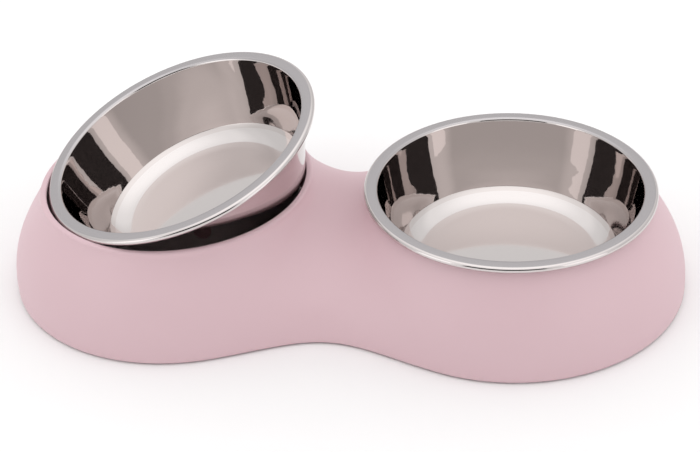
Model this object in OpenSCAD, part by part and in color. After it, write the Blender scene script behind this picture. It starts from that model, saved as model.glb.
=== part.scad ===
// Double pet bowl: a hollow moulded stand with an hourglass plan, six rubber feet and
// two equal steel bowls. The right bowl is seated; the left one leans in its opening.
// Millimetres, +Z up, X along the stand, +Y to the back, origin on the floor at the middle.

/* [Bowls] */
// Diameter of each bowl over its rolled rim
rim_d = 140; // [120:1:160]
// Width of the rim from its outer edge to the top of the wall
rim_w = 6.8; // [6.2:0.1:9]
// Depth of the bowl from the top of the rim to the floor inside
bowl_depth = 41; // [30:0.5:46]
// Thickness of the steel sheet
sheet = 0.6; // [0.4:0.05:0.8]
// Diameter of the bead that is rolled at the edge of the rim
bead_d = 3.2; // [2.6:0.1:3.6]
// Radius of the bend from the rim into the wall
bend_r = 1.5; // [1:0.1:2]
// Lean of the wall right under the rim, in degrees from upright
top_lean = 13; // [10:0.1:16]
// Lean of the straight lower wall, in degrees from upright
wall_lean = 19; // [17:0.1:22]
// Height over which the wall curves from one lean to the other
curve_h = 16; // [10:0.5:20]
// Slope of the base where the wall meets it in a crease, in degrees
base_slope = 35; // [25:0.5:45]
// Radius of the base between the crease and the floor
base_r = 20; // [16:0.5:26]
// Slope of the dished floor at its edge, in degrees
floor_slope = 2.6; // [1:0.1:4]

/* [Leaning bowl] */
// Tilt of the left bowl, in degrees
left_tilt = 17.8; // [15:0.1:20]
// Turn of its low side from the left end towards the front, in degrees
left_turn = 31.4; // [0:0.1:60]

/* [Stand] */
// Height of the lips above the lower edge of the stand
stand_h = 49; // [46:0.5:70]
// Gap between the rims of the two bowls when both are seated
rim_gap = 24; // [18:0.5:40]
// How far the foot of each lobe stands out beyond its lip
side_spread = 18.6; // [12:0.2:26]
// How far each side is drawn in at the waist
waist_pinch = 22; // [16:0.5:28]
// How far the saddle between the openings lies below the lips
saddle_dip = 10.3; // [8:0.1:14]
// Thickness of the moulded wall
wall = 3; // [2:0.1:4]
// Radius of the rounded outer shoulder of each lip
shoulder_r = 1.4; // [1:0.1:2]
// Chamfer on the inner edge of each lip
lip_chamfer = 0.8; // [0.4:0.1:1]
// Clearance round a bowl in its opening
opening_gap = 0.4; // [0.3:0.05:1]
// Clearance between a bowl and the lip that it rests on
seat_gap = 0.2; // [0.1:0.05:0.3]

/* [Feet] */
// Diameter of each rubber foot
foot_d = 12; // [8:0.5:16]
// Height of each rubber foot
foot_h = 3; // [2.4:0.1:5]
// How far the feet hold the stand off the floor
foot_drop = 1; // [0.5:0.1:2]
// Width of the wall of each foot's socket
socket_wall = 2; // [1.2:0.1:3]
// Thickness of the roof of each foot's socket
socket_roof = 2; // [1.2:0.1:3]
// Clearance round a foot in its socket
socket_gap = 0.1; // [0.05:0.05:0.3]

/* [Hidden] */
// Overrun of every cut
over = 1;

// Steel sheet: the bend, the curved upper wall and the lower wall run on from one another. The
// wall ends in a crease at crease_r, and a round base leads from there to the dished floor.
rim_r = rim_d / 2;
bead_r = bead_d / 2;
bead_c = rim_r - bead_r;
mouth_r = rim_r - rim_w;
bend_c = mouth_r + bend_r / cos(top_lean);
curve_r = curve_h / (sin(wall_lean) - sin(top_lean));
curve_top = [bend_c, -bend_r] + bend_r * [-cos(top_lean), sin(top_lean)];
curve_c = curve_top - curve_r * [cos(top_lean), -sin(top_lean)];
curve_end = curve_c + curve_r * [cos(wall_lean), -sin(wall_lean)];
// The crease lies where the wall meets the top of the base, and the depth is at the middle
base_in = base_r * (sin(base_slope) - sin(floor_slope));
base_drop = base_r * (cos(floor_slope) - cos(base_slope));
floor_dip = tan(floor_slope / 2);
end_reach = curve_end[0] - base_in - tan(wall_lean) * (curve_end[1] + bowl_depth - base_drop);
floor_r = end_reach / (1 - tan(wall_lean) * floor_dip);
crease = [floor_r + base_in, base_drop + floor_r * floor_dip - bowl_depth];
base_c = crease + base_r * [-sin(base_slope), cos(base_slope)];
dish_r = floor_r / sin(floor_slope);
bend_steps = 6;
curve_steps = 5;
base_steps = 7;
floor_steps = 3;
crease_steps = 2;
bead_steps = 24;
round_fn = 120;

// Lips: the bead of a seated bowl rests on the rounded shoulder, at this share of its reach
seat_share = 0.75;
opening_r = mouth_r + sheet + opening_gap;
seat_reach = shoulder_r + bead_r + seat_gap;
crest_r = bead_c - seat_share * seat_reach;
shoulder_out = crest_r + shoulder_r;
shoulder_h = stand_h - shoulder_r;
lip_z = foot_drop + stand_h;
seated_z = lip_z - shoulder_r + sqrt(pow(seat_reach, 2) - pow(bead_c - crest_r, 2)) + bead_r;

// Plan of the stand: two round lobes joined by a smooth waist
lobe_x = (rim_d + rim_gap) / 2;
lobe_r = shoulder_out + side_spread;
waist_y = lobe_r - waist_pinch;
saddle_h = stand_h - saddle_dip;
// Shape of the sides, from upright at the floor to drawn in under the lip
side_power = 2.35;
side_ease = 1.333;
// Width over which the lobes blend at the floor, and how fast it falls with height
blend_w = 4 * (norm([lobe_x, waist_y]) - lobe_r);
blend_fall = (1 - 4 * (lobe_x - side_r(saddle_h)) / blend_w) / pow(saddle_h / stand_h, 2);
// Rays and rows of the outer skin and of the hollow inside it
skin_ray_steps = [52, 24];
skin_row_steps = 9;
hollow_ray_steps = [40, 16];
hollow_row_steps = 7;
shoulder_steps = 3;
// How much the rays crowd towards the waist
crowd_share = 0.6;
search_steps = 26;
// Steps at which the leaning bowl's outlines are tried against the lip, along and round it
contact_steps = 24;
contact_turn = 3;

// Feet: one at the end of each lobe, one behind and one in front
socket_r = foot_d / 2 + socket_gap;
boss_r = socket_r + socket_wall;
socket_h = foot_h - foot_drop;
boss_sink = wall / 2;
foot_ring_r = lobe_r - wall - boss_r + boss_sink;
foot_round_share = 0.25;
foot_angles = [0, 120, 240];

function arc(centre, r, from, to, steps) =
    [for (i = [0:steps]) let (a = from + (to - from) * i / steps) centre + r * [cos(a), sin(a)]];

// Side radius of a lobe at height z
function side_r(z) =
    shoulder_out + side_spread * pow(1 - pow(min(max(z, 0) / shoulder_h, 1), side_power), side_ease);

// Blend width at height z
function blend(z) = blend_w * (1 - blend_fall * pow(max(z, 0) / stand_h, 2));

// Half width of the waist at height z
function waist_half(z, inset) = sqrt(pow(side_r(z) - inset + blend(z) / 4, 2) - pow(lobe_x, 2));

// Distance outside the blended lobes, on the ray at this angle from the right lobe's centre
function field(rho, angle, z, inset) =
    let (near = rho, far = norm([2 * lobe_x + rho * cos(angle), rho * sin(angle)]))
    let (k = blend(z), overlap = max(k - abs(near - far), 0))
    min(near, far) - side_r(z) + inset - overlap * overlap / (4 * k);

// Radius of the skin along a ray, found by halving the range
function skin_r(angle, z, inset, low, high, n = search_steps) =
    let (mid = (low + high) / 2)
    n == 0 ? mid :
    field(mid, angle, z, inset) < 0
        ? skin_r(angle, z, inset, mid, high, n - 1)
        : skin_r(angle, z, inset, low, mid, n - 1);

// Height of the skin above the middle plane at distance y from the long axis
function seam_h(y, inset, low, high, n = search_steps) =
    let (mid = (low + high) / 2)
    n == 0 ? mid :
    norm([lobe_x, y]) - blend(mid) / 4 - side_r(mid) + inset < 0
        ? seam_h(y, inset, mid, high, n - 1)
        : seam_h(y, inset, low, mid, n - 1);

// Top of the lip at this radius from an opening's axis
function lip_top(r) =
    r < opening_r ? -stand_h :
    r < opening_r + lip_chamfer ? lip_z - lip_chamfer + r - opening_r :
    r < crest_r ? lip_z :
    r < shoulder_out ? lip_z - shoulder_r + sqrt(pow(shoulder_r, 2) - pow(r - crest_r, 2)) :
    lip_z - shoulder_r - (r - shoulder_out);

// Height that the rim's centre needs so that the given outline of the bowl clears the lip,
// when the bowl leans by left_tilt and its centre lies uphill of the opening's axis
function lean_need(outline, uphill) =
    max([for (p = outline, t = [0:contact_turn:180])
        let (x = p[0] * cos(t) * cos(left_tilt) - p[1] * sin(left_tilt) + uphill)
        let (z = p[0] * cos(t) * sin(left_tilt) + p[1] * cos(left_tilt))
        lip_top(norm([x, p[0] * sin(t)])) - z]);

// The bowl slides uphill until its rim and its crease touch at once
function lean_shift(low, high, n = search_steps) =
    let (mid = (low + high) / 2)
    n == 0 ? mid :
    lean_need(rim_under, mid) > lean_need(crease_under, mid)
        ? lean_shift(mid, high, n - 1)
        : lean_shift(low, mid, n - 1);

rim_under = arc([bead_c, -bead_r], bead_r + seat_gap, -180, 0, contact_steps);
crease_under = concat(
    arc(crease, sheet + seat_gap, base_slope - 90, -wall_lean, contact_steps),
    arc(base_c, base_r + sheet + seat_gap, floor_slope - 90, base_slope - 90, contact_steps));
lean_x = lean_shift(0, rim_w);
lean_z = max(lean_need(rim_under, lean_x), lean_need(crease_under, lean_x));

// Points of one face of the sheet from the axis to the bend, with that face this far outside
// the sheet's inner face. The crease is sharp inside and round outside.
function sheet_face(out) = concat(
    arc([0, dish_r - bowl_depth], dish_r + out, -90, floor_slope - 90, floor_steps),
    rest(arc(base_c, base_r + out, floor_slope - 90, base_slope - 90, base_steps)),
    out > 0 ? rest(arc(crease, out, base_slope - 90, -wall_lean, crease_steps)) : [],
    arc(curve_c, curve_r + out, -wall_lean, -top_lean, curve_steps));

function rest(points) = [for (i = [1:len(points) - 1]) points[i]];

function turned(points) = [for (i = [len(points) - 1:-1:0]) points[i]];

// Section of a bowl, from its axis up the inside, round the bead and back along the outside
bowl_section = concat(
    sheet_face(0),
    rest(arc([bend_c, -bend_r], bend_r, 180 - top_lean, 90, bend_steps)),
    arc([bead_c, -bead_r], bead_r, 90, -180, bead_steps),
    arc([bead_c, -bead_r], bead_r - sheet, -180, 90, bead_steps),
    arc([bend_c, -bend_r], bend_r - sheet, 90, 180 - top_lean, bend_steps),
    rest(turned(sheet_face(sheet))));

module bowl() {
    rotate_extrude($fn = round_fn)
        polygon(bowl_section);
}

// Closed solid under the skin of both lobes. The rays run from the centre of each lobe: out to
// the lower edge, or on the waist's side to the middle plane, where the two halves share points.
module lobes_solid(rays, rows, rounding, bottom, top, inset, lift) {
    outer = rays[0];
    count = rays[0] + rays[1];
    steps = rounding + rows;
    top_r = shoulder_out - inset;
    half = waist_half(bottom + lift, inset);
    function ray_share(t) = (1 - crowd_share) * t + crowd_share * sin(90 * t);
    function angle(j) =
        j <= outer
            ? atan2(half, -lobe_x) * ray_share(2 * j / outer - 1)
            : 180 - atan(half * cos(180 * (j - outer) / rays[1]) / lobe_x);
    function is_seam(j) = j == 0 || j >= outer;
    function row_point(j, i) =
        let (a = angle(j), inner = j > outer)
        let (seam_r = -lobe_x / cos(a))
        let (low = inner ? seam_h(seam_r * sin(a), inset, 0, shoulder_h) - lift : bottom)
        let (z = top + (low - top) * (i - rounding) / rows)
        let (r = i == rounding ? top_r
            : is_seam(j) && i == steps ? (inner ? seam_r : skin_r(a, z + lift, inset, 0, 2 * lobe_r))
            : skin_r(a, z + lift, inset, 0, inner ? seam_r : 2 * lobe_r))
        [r, z];
    function ray_point(j, i) =
        let (a = 90 * i / rounding)
        i < rounding ? [crest_r + shoulder_r * sin(a), shoulder_h + shoulder_r * cos(a)] : row_point(j, i);
    function place(s, j, i, p) =
        let (x = lobe_x + p[0] * cos(angle(j)))
        [(s == 0 ? 1 : -1) * (is_seam(j) && i == steps ? 0 : x), p[0] * sin(angle(j)), p[1]];
    function id(s, j, i) =
        let (k = j % count)
        (s == 1 && i == steps && is_seam(k) ? 0 : s * count * (steps + 1)) + k * (steps + 1) + i;
    points = [for (s = [0, 1], j = [0:count - 1], i = [0:steps]) place(s, j, i, ray_point(j, i))];
    // Both sides of the long axis are split along mirrored diagonals
    function is_front(j) = j < outer / 2 || j >= outer + rays[1] / 2;
    skin = [for (j = [0:count - 1], i = [0:steps - 1])
        each is_front(j)
            ? [[[j, i], [j + 1, i], [j, i + 1]], [[j + 1, i], [j + 1, i + 1], [j, i + 1]]]
            : [[[j, i], [j + 1, i], [j + 1, i + 1]], [[j, i], [j + 1, i + 1], [j, i + 1]]]];
    right = [for (f = skin) [for (v = f) id(0, v[0], v[1])]];
    left = [for (f = skin) [for (k = [2:-1:0]) id(1, f[k][0], f[k][1])]];
    right_top = [for (j = [count - 1:-1:0]) id(0, j, 0)];
    left_top = [for (j = [0:count - 1]) id(1, j, 0)];
    base = concat([for (j = [0:outer]) id(0, j, steps)], [for (j = [outer - 1:-1:1]) id(1, j, steps)]);
    polyhedron(points, concat(right, left, [right_top, left_top, base]));
}

module foot_places() {
    for (side = [0, 1])
        mirror([side, 0, 0])
            for (a = foot_angles)
                translate([lobe_x + foot_ring_r * cos(a), foot_ring_r * sin(a), 0])
                    children();
}

module opening() {
    translate([0, 0, shoulder_h - wall - over])
        cylinder(h = wall + shoulder_r + 2 * over, r = opening_r, $fn = round_fn);
    translate([0, 0, stand_h - lip_chamfer])
        cylinder(h = lip_chamfer, r1 = opening_r, r2 = opening_r + lip_chamfer, $fn = round_fn);
}

module stand_shell() {
    color([0.84, 0.71, 0.74])
        translate([0, 0, foot_drop])
            difference() {
                union() {
                    difference() {
                        lobes_solid(skin_ray_steps, skin_row_steps, shoulder_steps, 0, shoulder_h, 0, 0);
                        lobes_solid(hollow_ray_steps, hollow_row_steps, 0,
                            -over, stand_h - wall, wall, wall - shoulder_r);
                    }
                    foot_places()
                        cylinder(h = socket_h + socket_roof, r = boss_r, $fn = round_fn);
                }
                for (side = [-1, 1])
                    translate([side * lobe_x, 0, 0])
                        opening();
                foot_places()
                    translate([0, 0, -over])
                        cylinder(h = socket_h + over, r = socket_r, $fn = round_fn);
            }
}

module left_bowl() {
    color([0.72, 0.72, 0.73])
        translate([-lobe_x, 0, lean_z])
            rotate([0, 0, left_turn])
                translate([lean_x, 0, 0])
                    rotate([0, -left_tilt, 0])
                        bowl();
}

module right_bowl() {
    color([0.72, 0.72, 0.73])
        translate([lobe_x, 0, seated_z])
            bowl();
}

// One rubber foot: side is -1 for the left lobe, and turn is its angle from the lobe's far end
module foot(side, turn) {
    round_r = foot_h * foot_round_share;
    color([0.2, 0.2, 0.21])
        translate([side * (lobe_x + foot_ring_r * cos(turn)), foot_ring_r * sin(turn), 0])
            rotate_extrude($fn = round_fn)
                polygon(concat(
                    [[0, foot_h], [0, 0]],
                    arc([foot_d / 2 - round_r, round_r], round_r, -90, 0, bend_steps),
                    [[foot_d / 2, foot_h]]));
}

module left_end_foot() { foot(-1, foot_angles[0]); }
module left_back_foot() { foot(-1, foot_angles[1]); }
module left_front_foot() { foot(-1, foot_angles[2]); }
module right_end_foot() { foot(1, foot_angles[0]); }
module right_back_foot() { foot(1, foot_angles[1]); }
module right_front_foot() { foot(1, foot_angles[2]); }

stand_shell();
left_bowl();
right_bowl();
left_end_foot();
left_back_foot();
left_front_foot();
right_end_foot();
right_back_foot();
right_front_foot();
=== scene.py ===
# %% [markdown]
# # A double pet bowl, made as a lesson
# The object is a low hollow stand in satin pink plastic with two round openings, two polished
# steel bowls with rolled rims, and six small rubber feet. One bowl is seated and the other leans
# in its opening. The lesson goes from the frame and the camera to the pieces, then to their
# finishes, and then to the studio. Lengths are written in millimetres and used in metres.

# %% Start with the frame
import math
import bmesh
import bpy
import numpy as np
from mathutils import Matrix, Vector


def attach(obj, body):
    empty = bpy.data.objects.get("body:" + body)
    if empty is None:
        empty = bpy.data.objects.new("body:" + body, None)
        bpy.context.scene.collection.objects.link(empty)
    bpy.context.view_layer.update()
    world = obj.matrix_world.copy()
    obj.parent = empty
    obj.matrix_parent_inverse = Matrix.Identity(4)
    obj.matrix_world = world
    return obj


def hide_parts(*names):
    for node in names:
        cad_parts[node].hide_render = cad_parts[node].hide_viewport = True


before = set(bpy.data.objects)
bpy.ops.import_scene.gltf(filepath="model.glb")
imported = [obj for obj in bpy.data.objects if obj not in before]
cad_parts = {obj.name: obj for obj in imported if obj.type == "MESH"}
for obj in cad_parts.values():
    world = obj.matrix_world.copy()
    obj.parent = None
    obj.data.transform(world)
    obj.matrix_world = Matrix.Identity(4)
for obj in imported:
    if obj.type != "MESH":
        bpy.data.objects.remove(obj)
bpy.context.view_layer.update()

MM = 0.001
TOUCHING = 0.002 * MM

# %% [markdown]
# ## Camera
# The camera stands in front of the stand, a little to the right, and looks down on it. Its lens,
# distance and slight roll were solved from the bowls' rims and the stand's lower edge, so no lens
# shift is needed. The three axes of a camera are its right, its up and the way back from its view.

# %% Camera
azimuth = math.radians(9.75)
elevation = math.radians(33.81)
roll = math.radians(-3.22)
aim = Vector((3.57, 0, 24.29)) * MM
distance = 692.42
picture_width = 700
focal_pixels = 1392.81
way_back = Vector((math.sin(azimuth) * math.cos(elevation),
                   -math.cos(azimuth) * math.cos(elevation), math.sin(elevation)))
level_right = Vector((math.cos(azimuth), math.sin(azimuth), 0))
level_up = way_back.cross(level_right)
cam_right = level_right * math.cos(roll) + level_up * math.sin(roll)
cam_up = level_up * math.cos(roll) - level_right * math.sin(roll)

lens = bpy.data.cameras.new("view")
lens.sensor_width = 36
lens.lens = focal_pixels / picture_width * lens.sensor_width
lens.clip_start = 0.01
camera = bpy.data.objects.new("view", lens)
bpy.context.collection.objects.link(camera)
turn = Matrix((cam_right, cam_up, way_back)).transposed().to_4x4()
camera.matrix_world = Matrix.Translation(aim + way_back * distance * MM) @ turn
bpy.context.scene.camera = camera
bpy.context.scene.view_settings.view_transform = "Standard"
print("lens:", round(lens.lens, 2), "mm")

# %% [markdown]
# ## Helpers for working by operators
# An operator acts on all that is selected, so each piece starts from an empty selection. A
# finished piece has its place in its mesh and its object at the origin, like the CAD pieces.
# Its faces are shaded smooth where they meet at less than a given angle.

# %% Helpers for the start and the end of a piece
PLASTIC_ANGLE = 40
TURNED_ANGLE = 35


def start_clean():
    if bpy.context.object and bpy.context.object.mode != "OBJECT":
        bpy.ops.object.mode_set(mode="OBJECT")
    bpy.ops.object.select_all(action="DESELECT")


def take(obj):
    start_clean()
    obj.select_set(True)
    bpy.context.view_layer.objects.active = obj


def settle(obj, name, angle):
    """Puts the place into the mesh, smooths the shading and gives the name."""
    take(obj)
    bpy.ops.object.transform_apply(location=True, rotation=True, scale=True)
    bpy.ops.object.shade_smooth_by_angle(angle=math.radians(angle))
    obj.name = name
    obj.data.name = name
    obj.data.calc_loop_triangles()
    print(name, "has", len(obj.data.loop_triangles), "triangles")


# %% [markdown]
# ## The stand
# On the real object the stand is one thin moulding. Its plan is two round lobes joined by a smooth
# waist, its sides swell outwards towards the floor, each opening has a thin rounded lip, and a
# saddle lies between the openings. It could be two spun lobes joined by a boolean, but a boolean
# leaves a crease where the real one flows. So a tube is drawn with an operator, one row of points
# for each station of the wall's section, and each point is then laid on the form. The form comes
# from one rule: the outline at each height is two circles that blend softly into one another.
#
# A lobe's centre lies lobe_x from the middle. The lip's crest has the radius crest_r round it and
# rolls off over shoulder_r to the outside. The side then swells by side_spread down to the floor,
# where the waist is waist_y from the long axis, and the saddle is saddle_h high.

# %% Sizes of the stand, in millimetres above its lower edge
lobe_x = 82.0
stand_h = 49.0
lift = 1.0
wall = 3.0
opening_r = 64.2
crest_r = 66.0
shoulder_r = 1.4
shoulder_out = crest_r + shoulder_r
shoulder_h = stand_h - shoulder_r
side_spread = 18.6
side_power, side_ease = 2.35, 1.333
lobe_r = shoulder_out + side_spread
waist_y = 64.0
saddle_h = 38.7
edge_r = 0.6
lip_round = 0.8


def side_r(z):
    """Radius of a lobe's side at height z: upright at the floor and again under the lip."""
    rise = np.clip(z / shoulder_h, 0, 1)
    return shoulder_out + side_spread * (1 - rise ** side_power) ** side_ease


blend_w = 4 * (math.hypot(lobe_x, waist_y) - lobe_r)
blend_fall = (1 - 4 * (lobe_x - float(side_r(saddle_h))) / blend_w) / (saddle_h / stand_h) ** 2


def blend(z):
    """Width over which the two circles blend at height z."""
    return blend_w * (1 - blend_fall * (np.maximum(z, 0) / stand_h) ** 2)


print("lobe radius at the floor:", lobe_r, "blend width there:", round(blend_w, 2))

# %% [markdown]
# The radius of the form along a ray from a lobe's centre has no formula of its own, but it is
# easy to find by halving: a point is tried halfway, and the half that holds the surface is kept.
# The same trick gives the height of the surface over the middle plane.

# %% Finding the surface by halving
HALVINGS = 45


def depth_inside(rho, angle, z, inset):
    """Below zero inside the form, for a point at distance rho from the right lobe's centre."""
    near = rho
    far = np.hypot(2 * lobe_x + rho * np.cos(angle), rho * np.sin(angle))
    overlap = np.maximum(blend(z) - np.abs(near - far), 0)
    return np.minimum(near, far) - side_r(z) + inset - overlap ** 2 / (4 * blend(z))


def halve(inside, low, high):
    """The value between low and high at which the test called inside stops being true."""
    low, high = np.broadcast_arrays(low, high)
    low, high = low.astype(float).copy(), high.astype(float).copy()
    for _ in range(HALVINGS):
        middle = (low + high) / 2
        deep = inside(middle)
        low = np.where(deep, middle, low)
        high = np.where(deep, high, middle)
    return (low + high) / 2


def skin_r(angle, z, inset, reach):
    """Distance of the surface from the lobe's centre along a ray, up to a reach."""
    return halve(lambda rho: depth_inside(rho, angle, z, inset) < 0, 0 * reach, reach)


def seam_h(y, inset):
    """Height of the surface over the middle plane at distance y from the long axis."""
    return halve(lambda z: np.hypot(lobe_x, y) - blend(z) / 4 - side_r(z) + inset < 0,
                 0 * y, 0 * y + shoulder_h)


def waist_half(z, inset):
    """Half of the waist's width at height z."""
    return float(np.sqrt((side_r(z) - inset + blend(z) / 4) ** 2 - lobe_x ** 2))


print("saddle height:", round(float(seam_h(np.array(0.0), 0)), 2))

# %% [markdown]
# Each ray carries one section of the wall: up the hollow inside, over the lip and down the skin
# outside. On the outer side of a lobe a ray ends at the lower edge. On the side of the waist it
# ends at the middle plane, where the mirrored half takes over. The rays crowd towards the waist,
# where the form bends most.

# %% Rays and their sections
OUTER_RAYS = 184
WAIST_RAYS = 96
ray_count = OUTER_RAYS + WAIST_RAYS
crowding = 0.6
ray = np.arange(ray_count)
is_waist = ray > OUTER_RAYS
is_seam = (ray == 0) | (ray >= OUTER_RAYS)


def ray_angles(half):
    """Directions of the rays, for a waist of this half width."""
    share = 2 * ray / OUTER_RAYS - 1
    crowded = (1 - crowding) * share + crowding * np.sin(share * math.pi / 2)
    outer = math.atan2(half, -lobe_x) * crowded
    inner = math.pi - np.arctan(half * np.cos(math.pi * (ray - OUTER_RAYS) / WAIST_RAYS) / lobe_x)
    return np.where(is_waist, inner, outer)


def wall_rows(steps, inset, raised, top, top_r):
    """Rows of points of one face of the wall, from its lower end up to the lip."""
    angle = ray_angles(waist_half(edge_r + raised, inset))
    # only the rays of the waist meet the middle plane, and their cosine is well below this limit
    toward_middle = np.minimum(np.cos(angle), -0.1)
    seam_r = np.where(is_waist, -lobe_x / toward_middle, 2 * lobe_r)
    seam_low = seam_h(np.where(is_waist, seam_r * np.sin(angle), 0), inset) - raised
    low = np.where(is_waist, seam_low, edge_r)
    # near the saddle the form lies flat, so its rows are spread by reach and not by height
    along_waist = np.clip((ray - OUTER_RAYS) / WAIST_RAYS, 0, 1)
    power = 1 + np.where(is_waist, np.sin(math.pi * along_waist), 0)
    rows = []
    for step in range(steps + 1):
        z = top - (top - low) * (1 - (step / steps) ** power)
        rho = skin_r(angle, z + raised, inset, seam_r)
        if step == 0:
            rho = np.where(is_waist, seam_r, rho)
        if step == steps:
            rho = 0 * rho + top_r
        x = lobe_x + rho * np.cos(angle)
        if step == 0:
            x = np.where(is_seam, 0, x)
        rows.append(np.stack([x, rho * np.sin(angle), z], axis=1))
    return angle, rows


hollow = wall_rows(steps=16, inset=wall, raised=wall - shoulder_r,
                   top=stand_h - wall, top_r=shoulder_out - wall)[1]
skin_angle, skin = wall_rows(steps=32, inset=0, raised=0, top=shoulder_h, top_r=shoulder_out)


def ring(rho, z):
    """One row of points on a level circle round the lobe's centre, on the rays of the skin."""
    across, along = rho * np.cos(skin_angle), rho * np.sin(skin_angle)
    return np.stack([lobe_x + across, along, 0 * skin_angle + z], axis=1)


print("sections:", ray_count, "rays,", len(hollow), "rows inside and", len(skin), "outside")

# %% [markdown]
# The lower edge of the moulding is rounded a little on both sides, and so is the inner edge of the
# lip. These small rounds catch the light, and without them a plastic piece looks like a drawing.

# %% The rounded edges
def edge_rows(foot, across, steps=4):
    """From the face's lowest row round the edge to the middle of the wall."""
    rows = []
    for step in range(1, steps + 1):
        t = math.pi / 2 * step / steps
        point = foot + across * edge_r * (1 - math.cos(t))
        point[:, 2] = foot[:, 2] - np.where(is_waist, 0, edge_r * math.sin(t))
        rows.append(point)
    return rows


gap = hollow[0] - skin[0]
gap[:, 2] = 0
width = np.maximum(np.linalg.norm(gap, axis=1), 1e-6)[:, None]
across = np.where(is_waist[:, None], 0, gap / width)
middle = skin[0] + gap / 2
middle[:, 2] = 0
inner_end = np.where(is_waist[:, None], hollow[0], middle)
outer_end = np.where(is_waist[:, None], skin[0], middle)

inner_steps, crest_steps = 6, 10
lip = [ring(opening_r, stand_h - below) for below in (wall - 0.4, 2.0, lip_round)]
for step in range(1, inner_steps + 1):
    t = math.pi / 2 * step / inner_steps
    lip.append(ring(opening_r + lip_round * (1 - math.cos(t)),
                    stand_h - lip_round * (1 - math.sin(t))))
for step in range(crest_steps):
    t = math.pi / 2 * step / crest_steps
    lip.append(ring(crest_r + shoulder_r * math.sin(t), shoulder_h + shoulder_r * math.cos(t)))

section = ([inner_end] + edge_rows(hollow[0], -across)[::-1] + hollow + lip
           + skin[::-1] + edge_rows(skin[0], across) + [outer_end])
section = np.array(section) * MM
section[:, :, 2] += lift * MM
print("stations in a section:", len(section))

# %% [markdown]
# A circle with one point for each ray is drawn and extruded once for each row, so that the faces
# are there in order. Each point of the tube is then laid on its place in the sections. Half of the
# stand is enough, since a mirror modifier makes the other half and closes the seam between them.

# %% The tube is drawn and laid on the form
def laid_tube(places, name):
    """A tube with one row of points for each row of places, each point then laid on its place."""
    rows, count = places.shape[:2]
    start_clean()
    bpy.ops.mesh.primitive_circle_add(vertices=count, radius=1, fill_type="NOTHING")
    tube = bpy.context.object
    bpy.ops.object.mode_set(mode="EDIT")
    bpy.ops.mesh.select_all(action="SELECT")
    for _ in range(rows - 1):
        bpy.ops.mesh.extrude_region_move(TRANSFORM_OT_translate={"value": (0, 0, 1)})
    mesh = bmesh.from_edit_mesh(tube.data)
    first = min((v for v in mesh.verts if v.co.z < 0.5), key=lambda v: v.index).co.copy()
    start = math.atan2(first.y, first.x)
    for v in mesh.verts:
        row = round(v.co.z)
        turn = (math.atan2(v.co.y, v.co.x) - start) / (2 * math.pi) * count
        v.co = places[row, round(turn) % count]
    bmesh.update_edit_mesh(tube.data)
    bpy.ops.mesh.select_all(action="SELECT")
    bpy.ops.mesh.remove_doubles(threshold=TOUCHING)
    bpy.ops.object.mode_set(mode="OBJECT")
    tube.name = name
    return tube


stand = laid_tube(section, "stand")
mirror = stand.modifiers.new("other half", "MIRROR")
mirror.use_axis = (True, False, False)
mirror.use_mirror_merge = True
mirror.merge_threshold = 0.00002
take(stand)
bpy.ops.object.modifier_apply(modifier=mirror.name)
bpy.ops.object.mode_set(mode="EDIT")
bpy.ops.mesh.select_all(action="SELECT")
bpy.ops.mesh.normals_make_consistent(inside=False)
bpy.ops.mesh.select_all(action="DESELECT")
bpy.ops.mesh.select_non_manifold()
open_points = sum(v.select for v in bmesh.from_edit_mesh(stand.data).verts)
bpy.ops.object.mode_set(mode="OBJECT")
print("open points left in the stand:", open_points)

# %% [markdown]
# ### Sockets for the feet
# Under each lobe three short bosses hold the rubber feet. Each is a round ring with a roof. A
# cylinder with an inset would do too, but a drawn section that is spun, like a turned part, has its
# small rounds from the start. The outside of a boss sinks into the wall a little.

# %% Drawing a section and spinning it
def spun(points, steps, name):
    """Draws (radius, height) points in the XZ plane by extruding one point, and spins them round."""
    start_clean()
    bpy.ops.mesh.primitive_plane_add(size=MM)
    obj = bpy.context.object
    bpy.ops.object.mode_set(mode="EDIT")
    bpy.ops.mesh.select_all(action="SELECT")
    bpy.ops.mesh.merge(type="CENTER")
    here = Vector((points[0][0], 0, points[0][1])) * MM
    bpy.ops.transform.translate(value=here)
    for r, z in points[1:]:
        there = Vector((r, 0, z)) * MM
        bpy.ops.mesh.extrude_region_move(TRANSFORM_OT_translate={"value": there - here})
        here = there
    bpy.ops.mesh.select_all(action="SELECT")
    bpy.ops.mesh.spin(steps=steps, angle=2 * math.pi, center=(0, 0, 0), axis=(0, 0, 1))
    bpy.ops.mesh.select_all(action="SELECT")
    bpy.ops.mesh.remove_doubles(threshold=TOUCHING)
    bpy.ops.mesh.normals_make_consistent(inside=False)
    bpy.ops.object.mode_set(mode="OBJECT")
    obj.name = name
    return obj


def arc(centre, r, start, end, steps):
    """Points of an arc in a section, from one angle to another in degrees."""
    angles = [math.radians(start + (end - start) * i / steps) for i in range(steps + 1)]
    return [(centre[0] + r * math.cos(a), centre[1] + r * math.sin(a)) for a in angles]


# %% Places of the feet
foot_ring_r = 76.4
foot_angles = {"end": 0, "back": 120, "front": 240}


def foot_place(side, turn):
    """Place of a foot under the lobe on one side (-1 left, 1 right), at an angle in degrees."""
    turn = math.radians(turn)
    x = side * (lobe_x + foot_ring_r * math.cos(turn))
    return Vector((x, foot_ring_r * math.sin(turn), 0)) * MM


print("feet stand", foot_ring_r, "mm from the centre of their lobe")

# %% Sockets
pad_h = 3.0
foot_steps = 64
bore_r, socket_r = 6.1, 8.1
mouth_z, socket_top = 1.0, 5.0
mouth_round, top_round = 0.3, 0.6
bore_low = mouth_z + mouth_round

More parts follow.
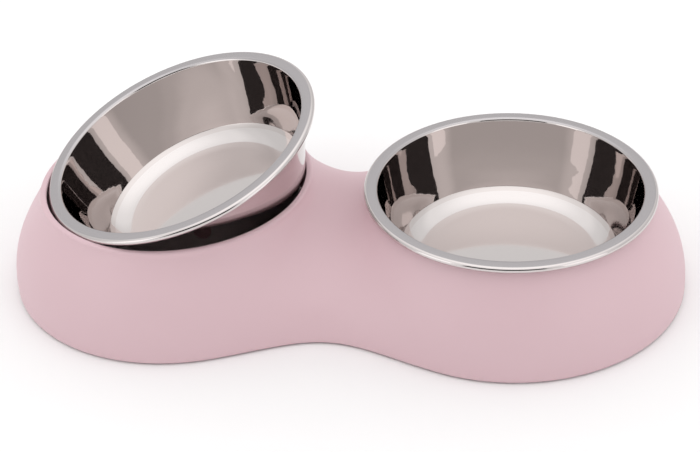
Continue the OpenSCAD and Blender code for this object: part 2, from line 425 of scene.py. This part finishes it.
socket = spun([(0, pad_h), (bore_r, pad_h), (bore_r, bore_low)]
              + arc((bore_r + mouth_round, bore_low), mouth_round, 180, 270, steps=4)[1:]
              + arc((socket_r - mouth_round, bore_low), mouth_round, 270, 360, steps=4)
              + arc((socket_r - top_round, socket_top - top_round), top_round, 0, 90, steps=6)
              + [(0, socket_top)], foot_steps, "socket")
sockets = [socket]
for side in (-1, 1):
    for turn in foot_angles.values():
        if (side, turn) != (-1, 0):
            take(socket)
            bpy.ops.object.duplicate(linked=False)
            sockets.append(bpy.context.object)
        sockets[-1].location = foot_place(side, turn)
take(stand)
for one in sockets:
    one.select_set(True)
bpy.context.view_layer.objects.active = stand
bpy.ops.object.join()
settle(stand, "stand_moulding", PLASTIC_ANGLE)

# %% [markdown]
# ## The bowls
# Both bowls are the same pressing: one steel sheet with a slightly dished floor, a round base that
# ends in a crease, and a wall that leans outwards, more at the bottom than at the top. A small
# bend leads from the wall into a flat flange, whose edge is rolled into a bead. A press forms the
# real one. A spun section gives the same shape, so it is drawn once, up the inside and back along
# the outside. The lean of the wall and the place of the crease were read from what they reflect.

# %% Section of a bowl, in millimetres below its rim
rim_r = 70.0
bead_r = 1.6
bead_c = rim_r - bead_r
rim_w = 6.8
mouth_r = rim_r - rim_w
sheet = 0.6
bend_r = 1.5
top_lean, low_lean = 13.0, 19.0
curve_h, crease_z, crease_r = 16.0, -34.6, 0.5
base_slope, base_r, floor_slope = 40.0, 23.7, 2.6


print("a bowl is", 2 * rim_r, "mm over its bead and", round(2 * mouth_r, 1), "mm in its mouth")


def unit(degrees):
    """The direction of a section's arc at an angle."""
    return Vector((math.cos(math.radians(degrees)), math.sin(math.radians(degrees))))


def between(a, b, steps):
    """The points inside a straight run from a to b."""
    return [(a[0] + (b[0] - a[0]) * i / steps, a[1] + (b[1] - a[1]) * i / steps)
            for i in range(1, steps)]


def offset(points, by):
    """The same outline moved outwards by a distance, as the other face of the sheet."""
    moved = []
    ways = [(Vector(b) - Vector(a)).normalized() for a, b in zip(points, points[1:])]
    for point, way_in, way_out in zip(points, ways[:1] + ways, ways + ways[-1:]):
        normals = [Vector((way.y, -way.x)) for way in (way_in, way_out)]
        there = Vector(point) + by * (normals[0] + normals[1]) / (1 + normals[0].dot(normals[1]))
        moved.append((there.x if point[0] else 0, there.y))
    return moved


# %% [markdown]
# The inside runs from the middle of the floor outwards: the dish, the round base, the crease and
# the wall, which curves near its top. Each part starts where the one before it ends, in the same
# direction, so the mirror of the steel shows no break but the crease, where the real one has its
# bright ring.

# %% The inside of the bowl, from its top down
bend_c = Vector((mouth_r + bend_r / math.cos(math.radians(top_lean)), -bend_r))
curve_top = bend_c + bend_r * unit(180 - top_lean)
curve_r = curve_h / (unit(-top_lean).y - unit(-low_lean).y)
curve = arc(curve_top - curve_r * unit(-top_lean), curve_r, -low_lean, -top_lean, steps=12)
drop = curve[0][1] - crease_z
crease = Vector((curve[0][0] - math.tan(math.radians(low_lean)) * drop, crease_z))
base_c = crease - base_r * unit(base_slope - 90)
base = arc(base_c, base_r, floor_slope - 90, base_slope - 90, steps=24)[:-1]
dish_r = base[0][0] / math.sin(math.radians(floor_slope))
floor_z = base[0][1] - dish_r * (1 - math.cos(math.radians(floor_slope)))
print("crease at radius", round(crease.x, 2), "and depth to the floor", round(-floor_z, 2))
into_wall, into_base = -unit(-low_lean), -unit(base_slope - 90)
crease_c = crease + crease_r * (into_wall + into_base) / (1 + into_wall.dot(into_base))
crease_arc = arc(crease_c, crease_r, base_slope - 90, -low_lean, steps=4)
dish = arc((0, dish_r + floor_z), dish_r, -90, floor_slope - 90, steps=6)
inside = dish + base[1:] + crease_arc + between(crease_arc[-1], curve[0], steps=6) + curve

# %% [markdown]
# The sheet goes on over the bend and the flange into the bead, which curls back under itself, and
# then returns under the flange and down the outside at the thickness of the sheet.

# %% The rim, the outside and the spun bowl
bowl_steps = 192
bead_at = (bead_c, -bead_r)
upper = arc(bend_c, bend_r, 180 - top_lean, 90, steps=8)
bead = arc(bead_at, bead_r, 90, -180, steps=32)
curl = arc(bead_at, bead_r - sheet, -180, 90, steps=20)
under = arc(bend_c, bend_r - sheet, 90, 180 - top_lean, steps=6)
flange = between(upper[-1], bead[0], steps=3)
flange_under = between(curl[-1], under[0], steps=2)
outside = offset(inside, sheet)[::-1]
bowl_section = inside + upper[1:] + flange + bead + curl + flange_under + under + outside[1:]
right_bowl = spun(bowl_section, bowl_steps, "right_bowl")
print("points in the bowl's section:", len(bowl_section))

# %% [markdown]
# The left bowl is a copy with a mesh of its own. It leans, its low side is turned from the left end
# towards the front, and it lies a little uphill in its opening, so that it rests on two points of
# the lip. The heights are those of the middle of each rim's top face over the floor.

# %% Placing the two bowls
seated_z, leaning_z = 52.3166, 69.7217
left_tilt, left_turn = 17.8, 31.4
uphill = 3.4273

take(right_bowl)
bpy.ops.object.duplicate(linked=False)
left_bowl = bpy.context.object
right_pose = Matrix.Translation(Vector((lobe_x, 0, seated_z)) * MM)
left_pose = (Matrix.Translation(Vector((-lobe_x, 0, leaning_z)) * MM)
             @ Matrix.Rotation(math.radians(left_turn), 4, "Z")
             @ Matrix.Translation(Vector((uphill, 0, 0)) * MM)
             @ Matrix.Rotation(math.radians(-left_tilt), 4, "Y"))
poses = {"right": right_pose, "left": left_pose}
right_bowl.matrix_world = right_pose
left_bowl.matrix_world = left_pose
settle(right_bowl, "bowl_right", TURNED_ANGLE)
settle(left_bowl, "bowl_left", TURNED_ANGLE)

# %% [markdown]
# ## The feet
# Each foot is a small turned pad of dark rubber with a soft lower edge and a shallow hollow below,
# as a moulded pad has. It could be a bevelled cylinder, but a spun section gives each edge its own
# round. One is made, and every other foot is a copy with its own mesh.

# %% Feet
pad_r = 6.0
hollow_r, hollow_h, hollow_edge = 3.2, 0.12, 0.4
sole_round, head_round = 0.75, 0.3
pad = spun([(0, pad_h), (0, hollow_h), (hollow_r, hollow_h), (hollow_r + hollow_edge, 0)]
           + arc((pad_r - sole_round, sole_round), sole_round, -90, 0, steps=6)
           + arc((pad_r - head_round, pad_h - head_round), head_round, 0, 90, steps=4)
           + [(0, pad_h)], foot_steps, "pad")
feet = {}
for side_name, side in (("left", -1), ("right", 1)):
    for place_name, turn in foot_angles.items():
        take(pad)
        bpy.ops.object.duplicate(linked=False)
        foot = bpy.context.object
        foot.location = foot_place(side, turn)
        settle(foot, f"foot_{side_name}_{place_name}", TURNED_ANGLE)
        feet[f"{side_name}_{place_name}_foot"] = foot
take(pad)
bpy.ops.object.delete()

# %% [markdown]
# ## Finishes
# Fine surface detail is shared by several finishes, so it is built once as a node group. The
# group gives out values only, and each material keeps its own shader.

# %% Helpers for nodes
def new_group(name, inputs, outputs):
    """A node group with its sockets; each input is a name, a kind and a value or None."""
    group = bpy.data.node_groups.new(name, "ShaderNodeTree")
    for socket_name, kind, value in inputs:
        made = group.interface.new_socket(socket_name, in_out="INPUT", socket_type=kind)
        if value is not None:
            made.default_value = value
    for socket_name, kind in outputs:
        group.interface.new_socket(socket_name, in_out="OUTPUT", socket_type=kind)
    return group, group.nodes.new("NodeGroupInput"), group.nodes.new("NodeGroupOutput")


def reckoned(tree, operation, first, second):
    """A Math node whose inputs are sockets or plain numbers; gives its output."""
    node = tree.nodes.new("ShaderNodeMath")
    node.operation = operation
    for put_in, value in zip(node.inputs, (first, second)):
        if isinstance(value, float):
            put_in.default_value = value
        else:
            tree.links.new(value, put_in)
    return node.outputs[0]


# %% [markdown]
# ### Grain
# Moulded plastic and rubber have a fine grain that breaks up the light, and broad clouds where the
# skin is a little duller. Both are noise, one fine and one coarse. A picture of grain would do the
# same, but noise needs no unwrapping and never shows a seam.

# %% A node group for fine grain
grain, grain_in, grain_out = new_group(
    "fine_grain",
    [("Vector", "NodeSocketVector", None), ("Grain per metre", "NodeSocketFloat", 2500.0),
     ("Cloud per metre", "NodeSocketFloat", 30.0)],
    [("Grain", "NodeSocketFloat"), ("Cloud", "NodeSocketFloat")])
for label, socket_name, detail in (("Grain", "Grain per metre", 2.0),
                                   ("Cloud", "Cloud per metre", 3.0)):
    noise = grain.nodes.new("ShaderNodeTexNoise")
    noise.inputs["Detail"].default_value = detail
    grain.links.new(grain_in.outputs["Vector"], noise.inputs["Vector"])
    grain.links.new(grain_in.outputs[socket_name], noise.inputs["Scale"])
    grain.links.new(noise.outputs["Fac"], grain_out.inputs[label])
print("fine_grain has", len(grain.nodes), "nodes")

# %% [markdown]
# ### Lines round an axis
# Turned or polished steel has very fine lines that run round its axis. They show as a soft sweep
# of light on the floor and the flange. Rings of a Wave texture would be too even. So the group
# takes noise of four dimensions: three are the direction from the axis, which keeps the noise
# closed round the bowl, and the fourth is the distance from it, which runs much faster and draws
# the lines. A slower distance gives broad streaks, and a very slow one the ripples of a pressing.

# %% A node group for lines round an axis
lines, lines_in, lines_out = new_group(
    "turned_lines",
    [("Vector", "NodeSocketVector", None), ("Lines per metre", "NodeSocketFloat", 1600.0)],
    [("Lines", "NodeSocketFloat"), ("Streaks", "NodeSocketFloat"), ("Ripples", "NodeSocketFloat")])
split = lines.nodes.new("ShaderNodeSeparateXYZ")
lines.links.new(lines_in.outputs["Vector"], split.inputs[0])
flat = lines.nodes.new("ShaderNodeCombineXYZ")
lines.links.new(split.outputs["X"], flat.inputs["X"])
lines.links.new(split.outputs["Y"], flat.inputs["Y"])
radius = lines.nodes.new("ShaderNodeVectorMath")
radius.operation = "LENGTH"
lines.links.new(flat.outputs[0], radius.inputs[0])
around = lines.nodes.new("ShaderNodeVectorMath")
around.operation = "NORMALIZE"
lines.links.new(flat.outputs[0], around.inputs[0])

# %% The three noises of the lines
STREAK_SHARE = 0.12
RIPPLES_PER_METRE = 90.0


def drawn_round(scale, detail, running, label):
    """Noise on the direction round the axis and on a running value, put out under a label."""
    noise = lines.nodes.new("ShaderNodeTexNoise")
    noise.noise_dimensions = "4D"
    noise.inputs["Scale"].default_value = scale
    noise.inputs["Detail"].default_value = detail
    lines.links.new(around.outputs["Vector"], noise.inputs["Vector"])
    lines.links.new(running, noise.inputs["W"])
    lines.links.new(noise.outputs["Fac"], lines_out.inputs[label])


distance_out = radius.outputs["Value"]
line_count = reckoned(lines, "MULTIPLY", distance_out, lines_in.outputs["Lines per metre"])
streak_count = reckoned(lines, "MULTIPLY", line_count, STREAK_SHARE)
ripple_count = reckoned(lines, "MULTIPLY", distance_out, RIPPLES_PER_METRE)
drawn_round(scale=1.5, detail=2.0, running=line_count, label="Lines")
drawn_round(scale=1.0, detail=2.0, running=streak_count, label="Streaks")
drawn_round(scale=7.0, detail=1.0, running=ripple_count, label="Ripples")
print("turned_lines has", len(lines.nodes), "nodes")

# %% [markdown]
# Every material starts in the same way and lets a value from a group drive its roughness and its
# bumps, so these steps are written once.

# %% Starting a material
def new_material(name, base, metallic=0.0, specular=0.5):
    material = bpy.data.materials.new(name)
    material.use_nodes = True
    nodes = material.node_tree.nodes
    shader = nodes["Principled BSDF"]
    shader.inputs["Base Color"].default_value = (*base, 1)
    shader.inputs["Metallic"].default_value = metallic
    shader.inputs["Specular IOR Level"].default_value = specular
    place = nodes.new("ShaderNodeTexCoord")
    return material, nodes, material.node_tree.links, shader, place


def ranged(nodes, links, source, low, high, target, ends=(0.3, 0.7)):
    """Maps the values between two ends onto the range low to high and feeds them to a socket."""
    node = nodes.new("ShaderNodeMapRange")
    for socket_name, value in (("From Min", ends[0]), ("From Max", ends[1]),
                               ("To Min", low), ("To Max", high)):
        node.inputs[socket_name].default_value = value
    links.new(source, node.inputs["Value"])
    links.new(node.outputs["Result"], target)


def bumped(nodes, links, height, strength, distance, target):
    """Lets a value between 0 and 1 raise the surface by up to a distance in metres."""
    node = nodes.new("ShaderNodeBump")
    node.inputs["Strength"].default_value = strength
    node.inputs["Distance"].default_value = distance
    links.new(height, node.inputs["Height"])
    links.new(node.outputs["Normal"], target)


def grained(nodes, links, place, grain_per_metre, cloud_per_metre):
    """Puts the grain group into a material and gives its node."""
    node = nodes.new("ShaderNodeGroup")
    node.node_tree = grain
    node.inputs["Grain per metre"].default_value = grain_per_metre
    node.inputs["Cloud per metre"].default_value = cloud_per_metre
    links.new(place.outputs["Object"], node.inputs["Vector"])
    return node


# %% [markdown]
# ### Pink plastic
# The moulding is a pale dusty pink with a satin skin. Under a soft light it shows no sharp
# highlight, only a broad sheen along the lips, so its roughness is high and varies a little. The
# colour moves between two close tints in the same clouds, since one flat pink looks like paint.

# %% Pink plastic
pink, nodes, links, shader, place = new_material(
    "pink_plastic", (0.725, 0.518, 0.556), specular=0.4)
skin_grain = grained(nodes, links, place, grain_per_metre=2600, cloud_per_metre=22)
ranged(nodes, links, skin_grain.outputs["Cloud"], low=0.42, high=0.5,
       target=shader.inputs["Roughness"])
tint = nodes.new("ShaderNodeMix")
tint.data_type = "RGBA"
tint.inputs["A"].default_value = (0.717, 0.507, 0.546, 1)
tint.inputs["B"].default_value = (0.733, 0.524, 0.562, 1)
links.new(skin_grain.outputs["Cloud"], tint.inputs["Factor"])
links.new(tint.outputs["Result"], shader.inputs["Base Color"])
bumped(nodes, links, skin_grain.outputs["Grain"], strength=0.12, distance=0.04 * MM,
       target=shader.inputs["Normal"])
print("pink plastic has", len(nodes), "nodes")

# %% [markdown]
# ### Steel
# One sheet has several finishes: the wall inside is polished like a mirror, the floor and the flange
# are finer satin, and the outside is polished but not so bright. The flange also gets a darker
# colour than the rest of the same steel, which is painted shade. Each bowl has its own materials,
# because the lines run round its own axis: a Mapping node turns them with the bowl.

# %% A steel finish
def steel(name, bowl, colour, rough, lines_per_metre, line_bump=0.0, ripple=0.0):
    """A finish with fine lines, or with slow ripples of a height in metres in their place."""
    material, nodes, links, shader, place = new_material(f"{name}_{bowl}", colour, metallic=1.0)
    mapping = nodes.new("ShaderNodeMapping")
    mapping.vector_type = "TEXTURE"
    mapping.inputs["Location"].default_value = poses[bowl].to_translation()
    mapping.inputs["Rotation"].default_value = poses[bowl].to_euler()
    links.new(place.outputs["Object"], mapping.inputs["Vector"])
    turned = nodes.new("ShaderNodeGroup")
    turned.node_tree = lines
    turned.inputs["Lines per metre"].default_value = lines_per_metre
    links.new(mapping.outputs["Vector"], turned.inputs["Vector"])
    ranged(nodes, links, turned.outputs["Streaks"], *rough, target=shader.inputs["Roughness"])
    if ripple:
        bumped(nodes, links, turned.outputs["Ripples"], strength=1.0, distance=ripple,
               target=shader.inputs["Normal"])
    else:
        bumped(nodes, links, turned.outputs["Lines"], strength=line_bump, distance=0.02 * MM,
               target=shader.inputs["Normal"])
    return material


# %% The four finishes of each bowl
FLANGE, WALL, BASE, OUTSIDE = range(4)
finishes = {}
# the flange's colour is darker than the other finishes of the same steel: painted shade
for bowl in poses:
    finishes[bowl] = [
        steel("steel_flange", bowl, colour=(0.510, 0.484, 0.492), rough=(0.16, 0.22),
              lines_per_metre=3000, line_bump=0.05),
        steel("steel_wall", bowl, colour=(0.635, 0.583, 0.568), rough=(0.02, 0.04),
              lines_per_metre=1500, ripple=0.03 * MM),
        steel("steel_base", bowl, colour=(0.685, 0.643, 0.633), rough=(0.05, 0.08),
              lines_per_metre=2500, line_bump=0.02),
        steel("steel_outside", bowl, colour=(0.665, 0.620, 0.612), rough=(0.05, 0.09),
              lines_per_metre=1800, line_bump=0.03)]
    print(bowl, "bowl:", [material.name for material in finishes[bowl]])

# %% [markdown]
# A face gets its finish by its place in the bowl. Its centre and normal are turned back to the
# upright bowl, so that one rule, in radius and height under the rim, serves both bowls.

# %% Giving each face its finish
satin_z = -36.2
rim_low = -2 * bead_r - 0.1
flange_low = -0.5
edge_margin = 0.2


def face_zone(r, z, up_inside):
    """Index of the finish for a face at radius r and height z under the rim."""
    if z > rim_low and r > mouth_r + edge_margin:
        return FLANGE if r < bead_c + edge_margin and z > flange_low else OUTSIDE
    if not up_inside:
        return OUTSIDE
    return BASE if z < satin_z else WALL


def faces_inwards(normal, out):
    """True for the upper side of the floor and the inner side of the wall."""
    if out.length < 1:
        return normal.z > 0
    return normal.dot(out.normalized()) < 0.3 and normal.z > -0.05


for bowl, obj in (("right", right_bowl), ("left", left_bowl)):
    obj.data.materials.clear()
    for material in finishes[bowl]:
        obj.data.materials.append(material)
    back = poses[bowl].inverted()
    turn_back = back.to_3x3()
    for polygon in obj.data.polygons:
        centre = back @ polygon.center / MM
        out = Vector((centre.x, centre.y, 0))
        facing_in = faces_inwards(turn_back @ polygon.normal, out)
        polygon.material_index = face_zone(out.length, centre.z, facing_in)
    counts = np.bincount([p.material_index for p in obj.data.polygons], minlength=4)
    print(obj.name, "faces by finish:", counts.tolist())

# %% [markdown]
# ### Rubber
# The feet are dark grey rubber with a dull, slightly cloudy skin. It takes the same group as the
# plastic, with a coarser grain, smaller clouds and more roughness.

# %% Rubber
rubber, nodes, links, shader, place = new_material(
    "dark_rubber", (0.035, 0.035, 0.038), specular=0.35)
skin_grain = grained(nodes, links, place, grain_per_metre=1800, cloud_per_metre=200)
ranged(nodes, links, skin_grain.outputs["Cloud"], low=0.6, high=0.8,
       target=shader.inputs["Roughness"])
bumped(nodes, links, skin_grain.outputs["Grain"], strength=0.3, distance=0.06 * MM,
       target=shader.inputs["Normal"])
print("rubber has", len(nodes), "nodes")

# %% [markdown]
# ## Bodies
# Each piece takes its finish, rides on the body that carries it and stands in for its CAD node:
# the stand carries its feet, and each bowl is a body of its own, because it can be lifted out.

# %% Giving the finishes and the bodies
for obj in [stand, *feet.values()]:
    obj.data.materials.clear()
stand.data.materials.append(pink)
for foot in feet.values():
    foot.data.materials.append(rubber)

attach(stand, "stand")
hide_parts("stand_shell")
for node, foot in feet.items():
    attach(foot, "stand")
    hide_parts(node)
for obj, side in ((left_bowl, "left"), (right_bowl, "right")):
    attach(obj, side)
    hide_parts(f"{side}_bowl")

# %% [markdown]
# ## The studio
# The floor is one pale sheet that runs out of the view. To the camera and to the mirrors it glows
# a little, so that it looks white, and the shadow of the stand stays on it. The glow fades in round
# the stand, over an oval as long as the stand is, so that the gap under it stays dark.

# %% Floor
start_clean()
bpy.ops.mesh.primitive_plane_add(size=6)
floor = bpy.context.object
floor.name = "floor"
paper, nodes, links, shader, place = new_material(
    "studio_floor", (0.95, 0.945, 0.945), specular=0.1)
shader.inputs["Roughness"].default_value = 0.9
shader.inputs["Emission Color"].default_value = (1, 1, 1, 1)
tree = paper.node_tree
seen = nodes.new("ShaderNodeLightPath")
direct = reckoned(tree, "MAXIMUM", seen.outputs["Is Camera Ray"], seen.outputs["Is Glossy Ray"])
direct = reckoned(tree, "MAXIMUM", direct, seen.outputs["Is Transmission Ray"])
oval = nodes.new("ShaderNodeMapping")
oval.inputs["Scale"].default_value = (0.5, 1, 1)
links.new(place.outputs["Object"], oval.inputs["Vector"])
reach = nodes.new("ShaderNodeVectorMath")
reach.operation = "LENGTH"
links.new(oval.outputs["Vector"], reach.inputs[0])
open_floor = nodes.new("ShaderNodeMath")
open_floor.operation = "MULTIPLY"
links.new(direct, open_floor.inputs[0])
ranged(nodes, links, reach.outputs["Value"], low=0, high=0.08, target=open_floor.inputs[1],
       ends=(78 * MM, 160 * MM))
links.new(open_floor.outputs[0], shader.inputs["Emission Strength"])
floor.data.materials.append(paper)
print("the floor is", round(floor.dimensions.x, 2), "m wide")

# %% [markdown]
# ### Softboxes
# Polished steel shows whatever stands round it, so the studio is built for the mirrors: a white
# tent that is brightest overhead, a tall softbox on either side of the camera, and a dark card
# behind the camera. The softboxes stand upright, so that their images in the walls are upright too.

# %% Softboxes
box_height = 0.36


def softbox(name, x, y, size, power):
    """An upright area light at x, y that faces the middle of the studio."""
    light = bpy.data.lights.new(name, "AREA")
    light.shape = "RECTANGLE"
    light.size, light.size_y = size
    light.energy = power
    obj = bpy.data.objects.new(name, light)
    bpy.context.collection.objects.link(obj)
    obj.location = (x, y, box_height)
    inwards = Vector((-x, -y, 0))
    obj.rotation_euler = inwards.to_track_quat("-Z", "Y").to_euler()
    print(name, "stands", round(inwards.length, 2), "m away")


softbox("softbox_left", x=-0.78, y=-0.70, size=(0.52, 0.70), power=0.5)
softbox("softbox_right", x=0.86, y=-0.52, size=(0.55, 0.70), power=0.5)

# %% [markdown]
# ### The dark card
# A white tent alone would leave the steel as pale as paper. The dark card gives the dark wedges in
# the walls of both bowls. It stands upright behind the camera's place, and the camera itself
# doesn't see it, so that it is never in the way of a view from the front.

# %% The dark card behind the camera
start_clean()
bpy.ops.mesh.primitive_plane_add(size=1, location=(0.08, -0.90, 0.45),
                                 rotation=(math.radians(90), 0, 0))
card = bpy.context.object
card.name = "dark_card"
bpy.ops.transform.resize(value=(1.0, 1.0, 0.60))
card.visible_camera = False
black, nodes, links, shader, place = new_material(
    "card_black", (0.05, 0.045, 0.045), specular=0.1)
shader.inputs["Roughness"].default_value = 0.9
card.data.materials.append(black)
print("dark card:", [round(side, 2) for side in card.dimensions], "m")

# %% [markdown]
# ### The tent
# The tent is the world itself: a ramp of greys from the floor up to the zenith, which lights the
# saddle and the lips softly from above. A real tent would be a sheet of cloth with lamps behind
# it, and two bright patches stand for those lamps.

# %% The white tent
world = bpy.data.worlds.new("studio")
bpy.context.scene.world = world
world.use_nodes = True
nodes, links = world.node_tree.nodes, world.node_tree.links
upward = nodes.new("ShaderNodeTexCoord")
height = nodes.new("ShaderNodeSeparateXYZ")
links.new(upward.outputs["Generated"], height.inputs[0])
tent = nodes.new("ShaderNodeValToRGB")
tent.color_ramp.interpolation = "EASE"
tent_greys = ((0, 0.56), (0.5, 0.61), (0.62, 0.67), (0.75, 0.82), (1, 1.08))
stops = tent.color_ramp.elements
for place_z, level in tent_greys[1:-1]:
    stops.new(place_z)
for stop, (place_z, level) in zip(stops, tent_greys):
    stop.color = (level, level, level, 1)
print("stops of the tent:", [round(stop.position, 2) for stop in stops])
links.new(height.outputs["Z"], tent.inputs["Fac"])

# %% Bright patches on the tent
PATCH_FULL = 0.995


def glow(azimuth, elevation, start, level):
    """A soft bright patch in one direction; azimuth runs from the back to the right."""
    azimuth, elevation = math.radians(azimuth), math.radians(elevation)
    toward = nodes.new("ShaderNodeVectorMath")
    toward.operation = "DOT_PRODUCT"
    toward.inputs[1].default_value = (math.sin(azimuth) * math.cos(elevation),
                                      math.cos(azimuth) * math.cos(elevation),
                                      math.sin(elevation))
    links.new(upward.outputs["Generated"], toward.inputs[0])
    patch = nodes.new("ShaderNodeMapRange")
    patch.interpolation_type = "SMOOTHSTEP"
    for socket_name, value in (("From Min", start), ("From Max", PATCH_FULL),
                               ("To Min", 0), ("To Max", level)):
        patch.inputs[socket_name].default_value = value
    links.new(toward.outputs["Value"], patch.inputs["Value"])
    return patch.outputs["Result"]


patches = reckoned(world.node_tree, "ADD",
                   glow(azimuth=228, elevation=18, start=0.86, level=0.24),
                   glow(azimuth=120, elevation=22, start=0.86, level=0.18))
light = reckoned(world.node_tree, "ADD", tent.outputs["Color"], patches)
sky = nodes["Background"]
links.new(light, sky.inputs["Color"])
sky.inputs["Strength"].default_value = 1.32

# %% [markdown]
# A low view sees over the far edge of the floor. There the tent would look grey, so the camera,
# and only the camera, sees plain white in its place.

# %% The white behind the floor
white = nodes.new("ShaderNodeBackground")
white.inputs["Color"].default_value = (1, 1, 1, 1)
white.inputs["Strength"].default_value = 1.0
seen = nodes.new("ShaderNodeLightPath")
either = nodes.new("ShaderNodeMixShader")
links.new(seen.outputs["Is Camera Ray"], either.inputs[0])
links.new(sky.outputs["Background"], either.inputs[1])
links.new(white.outputs["Background"], either.inputs[2])
links.new(either.outputs["Shader"], nodes["World Output"].inputs["Surface"])
print("the world has", len(nodes), "nodes")
